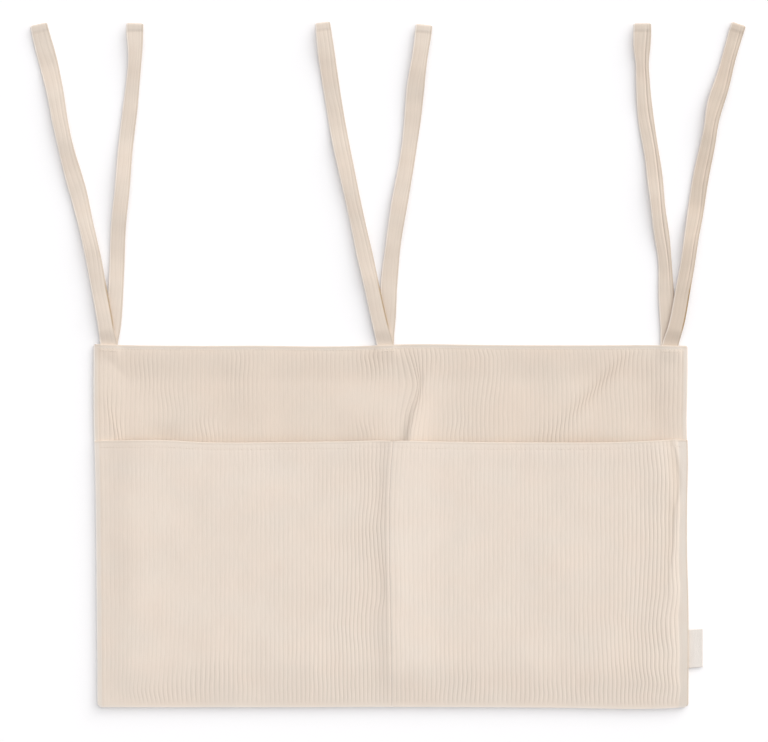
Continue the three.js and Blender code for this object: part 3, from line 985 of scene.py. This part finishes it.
def open_with_pocket(piece, body):
    """The cloth stays sewn at the bottom, the side and the divider, and bows open between them."""
    bend_between(piece, body, body + "_open", before=(0, 0, 0), after=(0, OPENING_RISE, 0))
    count = len(piece.data.vertices)
    points, weights = np.empty(count * 3, np.float32), np.empty(count, np.float32)
    piece.data.vertices.foreach_get("co", points)
    attribute = piece.data.attributes["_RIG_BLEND"]
    attribute.data.foreach_get("value", weights)
    x = abs(points.reshape(-1, 3)[:, 0]) / MM
    span = np.clip((x - HALF_DIVIDER) / (RIGHT - SEAM_ALLOWANCE - HALF_DIVIDER), 0, 1)
    bow = np.maximum(np.sin(math.pi * span), 0) ** OPENING_ROUNDNESS
    attribute.data.foreach_set("value", (weights * bow).astype(np.float32))


# Stitching

STITCH = 2.3
STITCH_PITCH = 3.0
STITCH_LIFT = 0.12
STITCH_RAISED = 0.1
ROW_MARGIN = 4
SEAM_STITCH = {"lift": 0.15, "raised": -0.35, "thicker": 1.2}
TACK = {"low": 7.3, "high": 5.3, "pitch": 1.5, "half": 8}


def stitch_row(point_at, start, end, lift=STITCH_LIFT, raised=STITCH_RAISED):
    """A row of stitches along a line. Point_at gives the point on the cloth's face at a place."""
    places = np.arange(start, end - STITCH, STITCH_PITCH)
    up = np.array((0, 0, raised))
    return [(point_at(place) + up, point_at(place + STITCH) + up, lift) for place in places]


def make_stitches(name, row, node, radius=THREAD_RADIUS):
    piece = thread_mesh(name, row, radius)
    finish_piece(piece, "thread", [node], thread_finish)
    return piece


def front_point(u, v):
    return front_surface(np.array([[u]], float), np.array([[v]], float))[0, 0]


def pocket_point(side, outer, v):
    return pocket_surface(side, np.array([[outer]], float), np.array([[v]], float))[0, 0]


def make_top_stitches():
    line = TOP - TOPSTITCH_FROM_EDGE
    row = stitch_row(lambda u: front_point(u, line), LEFT + ROW_MARGIN, RIGHT - ROW_MARGIN)
    piece = make_stitches("top_edge_stitches", row, "top_edge_stitching")
    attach(piece, "bag")


def make_mouth_stitches(side, name):
    line, last = MOUTH - HEM_STITCH, RIGHT - DIVIDER_GAP - ROW_MARGIN
    row = stitch_row(lambda outer: pocket_point(side, outer, line), SEAM_ALLOWANCE, last)
    piece = make_stitches("mouth_stitches_" + name, row, "mouth_stitching_" + name)
    open_with_pocket(piece, "pocket_" + name)


def make_divider_stitches():
    def between(v):
        left, right = (pocket_point(side, RIGHT - DIVIDER_GAP, v) for side in (-1, 1))
        return (left + right) / 2

    start, end = BOTTOM + ROW_MARGIN, MOUTH - ROW_MARGIN
    row = stitch_row(between, start, end, SEAM_STITCH["lift"], SEAM_STITCH["raised"])
    radius = SEAM_STITCH["thicker"] * THREAD_RADIUS
    piece = make_stitches("divider_stitches", row, "divider_seam", radius)
    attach(piece, "bag")


def make_tack_stitches(root, name):
    """A zigzag of thread that holds a pair of ties in the top seam."""
    low, high, up = TOP - TACK["low"], TOP - TACK["high"], (0, 0, STITCH_RAISED)
    row = []
    for k, u in enumerate(np.arange(root - TACK["half"], root + TACK["half"], TACK["pitch"])):
        near, far = (low, high) if k % 2 else (high, low)
        end = front_point(u + TACK["pitch"], far) + up
        row.append((front_point(u, near) + up, end, STITCH_LIFT))
    piece = make_stitches("tack_stitches_" + name, row, "tie_tack_" + name)
    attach(piece, "bag")


# Ties: widths are shares of a tie's width at places along it
# Aside is how far the laid tie drifts from its smooth line

FRONT_TIE = 333
REAR_TIE = 327
TIE_WIDTH = 16
TIE_COLUMNS = 33
TIE_CLOTH = 2.4
TIE_SQUEEZED = 0.75
TIE_IN_SEAM = 4
TIE_ROOT_GAP = 0.5
TIE_ROOT_TURN = 24
TIE_CLEARANCE = 0.1
CROSSING_LIFT = 3.1
CROSSING_LENGTH = 95
CROSSING_DROP = 60
TIE_CROWN = 0.25
TIE_HEM = {"width": 6, "thicker": 0.5, "groove": 0.3, "groove_half": 0.9}
TIE_EDGE_THINNING = 0.9

# Waves along the ties, each as size and wave length
TIE_WAVE = (1.6, 165)
TIE_ROLL = [(0.4, 118), (0.12, 47)]
TIE_CRINKLE = 0.15
TIE_CRINKLE_LENGTHS = (83, 31)
TIE_WALE_DRIFT = [(0.9, 140), (0.5, 61)]

# Wales, creases and shades of the ties
TIE_WALE = 4.5
TIE_WALE_HEIGHT = 0.065
TIE_WALE_SHADE = 0.7
TIE_UNEVEN_WALES = (0.35, 25, 80)
TIE_WALE_LEVEL = 0.75
TIE_WALE_LIMITS = (0.3, 1.4)
TIE_CREASE = {"aside": 3.8, "half": 0.7, "drift": 0.6}
TIE_UNDER_RELIEF = 0.7
# Painted light on the ties' left edges, painted shade on their right edges and a painted shadow where a tie
# crosses the other
TIE_LEFT_EDGE_LIGHT = 0.32
TIE_RIGHT_SHADE = 0.22
TIE_CROSSING_SHADE = 0.3
TIES = [
    {"name": "left_outer", "front": True, "lean": -12.5, "bow": 0.004, "sway": 0.005, "seed": 1,
     "crease": 0.12, "nap": 0.025,
     "aside": [(0, -1.2), (30, -0.6), (60, -0.5), (95, 0.2), (125, 0.1), (157, 0.3), (200, -0.5),
               (232, 0.1), (262, 1.8), (287, 1.6), (333, -0.5)],
     "width": [(0, 1.08), (40, 1.06), (90, 1.07), (125, 1.05), (165, 1.18), (210, 1.06), (240, 1.1),
               (262, 1.15), (304, 1.27), (333, 1.19)]},
    {"name": "left_inner", "front": False, "lean": 4.5, "bow": -0.001, "sway": -0.002, "seed": 2,
     "crease": 0.15, "nap": 0.02,
     "aside": [(0, 0.2), (12, 1.6), (45, 2.3), (76, 1.6), (122, -0.2), (160, 0.4), (200, -0.2),
               (250, 1.2), (298, 2.0), (327, -0.3)],
     "width": [(0, 0.92), (20, 1.02), (60, 1.02), (145, 1.04), (195, 1.01), (235, 1.03), (290, 0.93),
               (327, 1.18)]},
    {"name": "middle_left", "front": True, "lean": -11.1, "bow": -0.019, "sway": 0.002, "seed": 3,
     "crease": 0.12, "nap": 0,
     "aside": [(0, -0.8), (20, -0.9), (68, 0), (110, 0.7), (150, 1.1), (190, 0.8), (204, 0.5),
               (250, 0.1), (300, -0.4), (333, -0.4)],
     "width": [(0, 1.08), (18, 1.07), (68, 1.06), (92, 1.1), (110, 1.06), (140, 1.03), (180, 1.1),
               (214, 1.14), (245, 1.12), (276, 1.14), (304, 1.14), (333, 1.05)]},
    {"name": "middle_right", "front": False, "lean": 6.7, "bow": -0.009, "sway": -0.007, "seed": 4,
     "crease": 0.15, "nap": 0,
     "aside": [(0, 0), (25, 0.8), (60, -0.5), (100, -0.3), (150, 0.4), (195, 1.0), (225, 0.2),
               (270, -1.4), (300, -0.4), (320, 0.3)],
     "width": [(0, 0.98), (76, 1.12), (100, 1.04), (130, 1.09), (147, 1.12), (180, 1.06), (200, 1.05),
               (230, 1.14), (262, 1.2), (292, 1.08), (327, 1.15)]},
    {"name": "right_outer", "front": True, "lean": 12.1, "bow": -0.016, "sway": 0.008, "seed": 5,
     "crease": 0.45, "nap": -0.1,
     "aside": [(0, 1.3), (19, 2.7), (60, 2.1), (84, 2.0), (109, 1.3), (141, 1.6), (165, 1.3),
               (215, 2.1), (247, 0.7), (275, 2.0), (304, 1.3), (333, 0.9)],
     "width": [(0, 1.05), (40, 1.03), (80, 1.0), (95, 1.0), (112, 1.02), (135, 1.09), (168, 1.09),
               (206, 1.04), (225, 0.97), (255, 1.15), (292, 0.97), (333, 1.03)]},
    {"name": "right_inner", "front": False, "lean": -4.9, "bow": -0.003, "sway": 0.011, "seed": 6,
     "crease": 0.6, "nap": -0.035,
     "aside": [(0, 0.2), (30, -0.4), (55, -0.8), (85, 0.1), (130, -0.3), (190, 1.8), (228, 0.5),
               (285, 0), (304, -0.1), (320, 0.4)],
     "width": [(0, 1.1), (45, 1.1), (90, 0.93), (112, 1.05), (140, 1.0), (170, 1.07), (190, 1.02),
               (228, 1.08), (271, 0.95), (285, 0.91), (304, 1.16), (327, 1.2)]},
]


def tie_length(tie):
    return FRONT_TIE if tie["front"] else REAR_TIE


def tie_line(tie, along):
    """Middle line of a tie seen from above."""
    length = tie_length(tie)
    share = along / length
    lean = math.radians(tie["lean"])
    wave = tie["bow"] * np.sin(math.pi * share) + tie["sway"] * np.sin(2 * math.pi * share)
    root = joint_places[tie["name"] + "_tie_fold"][0]
    x = root + along * math.sin(lean) + length * wave * (along > 0) + curve(tie["aside"], along)
    return np.stack([x, TOP + TIE_ROOT_GAP + along * math.cos(lean)], axis=-1)


def tie_plan(tie, along, a, half):
    """Places of a tie's points seen from above, at shares a of its half width."""
    middle = tie_line(tie, along)
    run = unit(np.gradient(middle, along, axis=0))
    square = np.stack([run[:, 1], -run[:, 0]], axis=-1)
    turn = rise(along, 0, TIE_ROOT_TURN)[:, None]
    sideways = unit(np.array([[1.0, 0.0]]) * (1 - turn) + square * turn)
    return middle[:, None] + sideways[:, None] * a[..., None] * half[..., None]


def tie_underside(tie, a, s, free, phases):
    """Height of a tie's underside: held in the seam, then lifted over the other tie, rolled and waved."""
    drop = ease((s - CROSSING_LENGTH) / CROSSING_DROP)
    lift = CROSSING_LIFT * (1 - drop) if tie["front"] else np.zeros_like(s)
    roll = sum(size * swing(s, length, phase) for (size, length), phase in zip(TIE_ROLL, phases))
    near, far = (swing(s, length, phase) for length, phase in zip(TIE_CRINKLE_LENGTHS, phases[2:]))
    crinkle = TIE_CRINKLE * (1 + near * far)
    wave = TIE_WAVE[0] * (1 + swing(s, TIE_WAVE[1], phases[1])) * rise(s, 60, 130)
    floor = TIE_CLEARANCE + lift + wave + rise(s, 12, 50) * (abs(roll) + roll * a + crinkle)
    seam_floor = LINING_RIM + TIE_CLEARANCE + (TIE_SQUEEZED + TIE_CLEARANCE if tie["front"] else 0)
    return seam_floor * (1 - free) + free * floor


def tie_relief(tie, across, s, furrow, crease, edge_fade):
    """Wales, lengthwise crease and hem groove of a tie."""
    uneven = TIE_WALE_LEVEL + undulation(across, s, tie["seed"] + 60, *TIE_UNEVEN_WALES)
    relief = TIE_WALE_HEIGHT * np.clip(uneven, *TIE_WALE_LIMITS) * (1 - furrow) * edge_fade
    relief = relief - tie["crease"] * crease
    from_hem = tie_length(tie) - TIE_CLOTH / 2 - TIE_HEM["width"] - s
    return relief - TIE_HEM["groove"] * bell(from_hem, TIE_HEM["groove_half"]) * edge_fade


# A tie's own tone with painted light on its left edge, painted shade on its right edge and a painted shadow
# where it lies over the other tie
def tie_nap(tie, a, s, right_edge):
    over_other = rise(s, 12, 22) * (1 - rise(s, 55, 70)) if tie["front"] else 0
    # Painted light on the tie's left edge
    nap = tie["nap"] + TIE_LEFT_EDGE_LIGHT * rise(-a, 0.86, 0.98)
    # Painted shade on the right edge, deeper as a painted shadow where the tie lies over the other
    return nap - (TIE_RIGHT_SHADE + TIE_CROSSING_SHADE * over_other) * right_edge


def make_tie(tie):
    end = tie_length(tie) - TIE_CLOTH / 2
    along = graded((-TIE_IN_SEAM, 20, 2), (20, end - 14, 3), (end - 14, end, 1.4))
    a, s = np.meshgrid(np.linspace(-1, 1, TIE_COLUMNS), along)
    across = a * TIE_WIDTH / 2
    random = np.random.default_rng(tie["seed"])
    phases = random.uniform(0, 2 * math.pi, 4)
    first_wale = random.uniform(0, TIE_WALE)

    free = rise(s, 1, 17)
    hem = rise(s, end - TIE_HEM["width"] - 0.5, end - TIE_HEM["width"] + 0.5)
    thick = TIE_SQUEEZED + (TIE_CLOTH - TIE_SQUEEZED) * free + TIE_HEM["thicker"] * hem
    plan = tie_plan(tie, along, a, TIE_WIDTH / 2 * curve(tie["width"], s) - thick / 2)
    crown = TIE_CROWN * (1 - a**4) * free
    top = tie_underside(tie, a, s, free, phases) + thick + crown - TIE_CROWN * free
    thick = thick - TIE_EDGE_THINNING * free * a**8

    drifts = zip(TIE_WALE_DRIFT, phases[1:])
    drift = sum(size * swing(s, length, phase) for (size, length), phase in drifts)
    furrow = valley((across + drift * rise(s, 12, 50) + first_wale) / TIE_WALE)
    edge_fade = (1 - rise(abs(a), 0.86, 1.0)) * rise(s, 1, 6) * (1 - 0.6 * hem)
    crease = bell(across + TIE_CREASE["drift"] * drift - TIE_CREASE["aside"], TIE_CREASE["half"])
    crease = crease * edge_fade * rise(s, 30, 90)
    relief = tie_relief(tie, across, s, furrow, crease, edge_fade)
    # Darker in the furrows for bare ground and painted shade, and painted shade along the crease
    wale = 1 - np.maximum(furrow * TIE_WALE_SHADE * edge_fade, crease * tie["crease"])
    right_edge = rise(a, 0.84, 0.96)
    # The right edge also takes the cool pressed tint, which keeps its painted shade neutral
    pressed = np.maximum(hem * 0.3, right_edge)
    shades = {"wale": wale, "pressed": pressed, "nap": tie_nap(tie, a, s, right_edge)}

    name, surface = "tie_cloth_" + tie["name"], np.dstack([plan, top])
    under_relief = TIE_UNDER_RELIEF * relief.clip(0)
    piece = cloth_shell(name, surface, thick, relief, shades, (across, s), under_relief=under_relief)
    finish_piece(piece, "corduroy", ["tie_" + tie["name"]], tie_corduroy, tie_corduroy)
    body = tie["name"] + "_tie"
    bend_between(piece, body, body + "_fold", before=(0, -0.5, 0), after=(0, 12, 0))


# Label

LABEL_CLOTH = 0.4
LABEL_LOOP = 0.4
LABEL_RADIUS = LABEL_CLOTH + LABEL_LOOP / 2
LABEL_SQUEEZED = 0.12
LABEL_TILT = 4
LABEL_IN_SEAM = 4
LABEL_ROWS = 41
LABEL_SELVEDGE = 0.06
LABEL_PUFF = {"height": 0.25, "length": 14, "uneven": 0.5, "wave_length": 40}


def make_label():
    """A folded strip of tape: out of the seam, round a narrow loop and back into the seam."""
    low, high = label_low[1], label_high[1]
    root = RIGHT - LABEL_IN_SEAM
    straight = label_high[0] - LABEL_RADIUS - root
    bend = math.pi * LABEL_RADIUS
    length = 2 * straight + bend
    along = graded((0, straight, 0.9), (straight, straight + bend, 0.2), (straight + bend, length, 0.9))
    s, v = np.meshgrid(along, np.linspace(low + 0.2, high - 0.2, LABEL_ROWS))
    out = np.minimum(s, length - s)
    angle = np.clip((s - straight) / LABEL_RADIUS, 0, math.pi)
    in_seam = 1 - rise(out, LABEL_IN_SEAM + 0.2, LABEL_IN_SEAM + 3)
    half_loop = LABEL_RADIUS * (1 - in_seam) + (LABEL_SQUEEZED + 0.02) * in_seam
    x = root + np.minimum(out, straight) + LABEL_RADIUS * np.sin(angle)
    middle_z = (label_low[2] + label_high[2]) / 2
    bulge = np.clip((out - LABEL_IN_SEAM) / LABEL_PUFF["length"], 0, 1)
    puff = LABEL_PUFF["height"] * np.sin(math.pi * bulge) ** 2 * np.cos(angle)
    puff = puff * (1 + LABEL_PUFF["uneven"] * swing(v - low, LABEL_PUFF["wave_length"], 0))
    z = middle_z + half_loop * np.cos(angle) + puff
    tilt = math.tan(math.radians(LABEL_TILT)) * rise(out, LABEL_IN_SEAM, LABEL_IN_SEAM + 4)
    surface = np.stack([x, v + tilt * (x - RIGHT), z], axis=-1)
    thick = LABEL_CLOTH + (LABEL_SQUEEZED - LABEL_CLOTH) * in_seam
    selvedge = LABEL_SELVEDGE * (1 - rise(np.minimum(v - low, high - v), 0.8, 1.4))
    piece = cloth_shell("label_tape", surface, thick, selvedge, {}, (s, v))
    finish_piece(piece, "label", ["side_label"], label_weave, label_weave)
    bend_between(piece, "label", "label_fold", before=(-0.4, 0, 0), after=(2.6, 0, 0))


# Stage: lengths in metres, except for the floor's drop

FLOOR_DROP = 0.4
FLOOR_SIZE = 6.0
FLOOR_COLOUR = (0.93, 0.92, 0.925)
FLOOR_GLOW = (0.09, 0.09, 0.095)
CAMERA_HEIGHT = 3.0
SENSOR_WIDTH = 36
FRAME_WIDTH = 0.7797
FRAME_MIDDLE = (-0.0071, 0.1576)
CLIP_END = 50
SOFTBOX_DISTANCE = 3
SOFTBOXES = {
    "key_softbox": {"azimuth": 50, "elevation": 34, "spread": 110, "level": 2.6},
    "low_softbox": {"azimuth": 50, "elevation": 17, "spread": 34, "level": 1.0},
}
AMBIENT = 0.42


def seen_by(tree, *rays):
    """1 for the kinds of rays named and 0 for the others."""
    path = add(tree, "ShaderNodeLightPath")
    seen = path.outputs[rays[0]]
    for ray in rays[1:]:
        seen = math_node(tree, "ADD", seen, path.outputs[ray])
    return seen


def make_floor():
    mesh = bpy.data.meshes.new("floor")
    half = FLOOR_SIZE / 2
    corners = [(-half, -half, 0), (half, -half, 0), (half, half, 0), (-half, half, 0)]
    mesh.from_pydata(corners, [], [(0, 1, 2, 3)])
    floor = add_object("floor", mesh)
    floor.location.z = -FLOOR_DROP * MM
    material = bpy.data.materials.new("pale_floor")
    material.use_nodes = True
    tree = material.node_tree
    tree.nodes.remove(tree.nodes["Principled BSDF"])
    base = add(tree, "ShaderNodeBsdfDiffuse", {"Color": colour4(FLOOR_COLOUR)})
    seen = seen_by(tree, "Is Camera Ray", "Is Glossy Ray", "Is Transmission Ray")
    glow = add(tree, "ShaderNodeEmission", {"Color": colour4(FLOOR_GLOW), "Strength": seen})
    both = add(tree, "ShaderNodeAddShader", {0: base.outputs[0], 1: glow.outputs[0]})
    tree.links.new(both.outputs[0], tree.nodes["Material Output"].inputs["Surface"])
    mesh.materials.append(material)


def make_world():
    """A white surround that lights the bag less than it shows."""
    world = bpy.data.worlds.new("studio")
    bpy.context.scene.world = world
    world.use_nodes = True
    tree = world.node_tree
    background = tree.nodes["Background"]
    background.inputs["Color"].default_value = (1.0, 1.0, 1.0, 1.0)
    seen = seen_by(tree, "Is Camera Ray", "Is Transmission Ray")
    tree.links.new(map_range(tree, seen, AMBIENT, 1.0), background.inputs["Strength"])


def make_softboxes():
    for name, light in SOFTBOXES.items():
        azimuth, elevation = math.radians(light["azimuth"]), math.radians(light["elevation"])
        level = math.cos(elevation)
        away = Vector((math.cos(azimuth) * level, math.sin(azimuth) * level, math.sin(elevation)))
        lamp = bpy.data.lights.new(name, "SUN")
        lamp.angle = math.radians(light["spread"])
        lamp.energy = light["level"]
        softbox = add_object(name, lamp)
        softbox.location = away * SOFTBOX_DISTANCE
        softbox.rotation_mode = "QUATERNION"
        softbox.rotation_quaternion = away.to_track_quat("Z", "Y")


def make_camera():
    lens = bpy.data.cameras.new("camera")
    lens.sensor_width = SENSOR_WIDTH
    lens.lens = lens.sensor_width * CAMERA_HEIGHT / FRAME_WIDTH
    lens.clip_end = CLIP_END
    camera = add_object("camera", lens)
    camera.location = (*FRAME_MIDDLE, CAMERA_HEIGHT)
    bpy.context.scene.camera = camera


make_camera()
make_world()
make_softboxes()
make_floor()
make_lining()
make_front()
for side, name in ((-1, "left"), (1, "right")):
    make_pocket(side, name)
    make_mouth_stitches(side, name)
make_divider_stitches()
make_top_stitches()
for root, name in zip(tie_roots(), ("left", "middle", "right")):
    make_tack_stitches(root, name)
for tie in TIES:
    make_tie(tie)
make_label()
bpy.context.scene.view_settings.view_transform = "Standard"
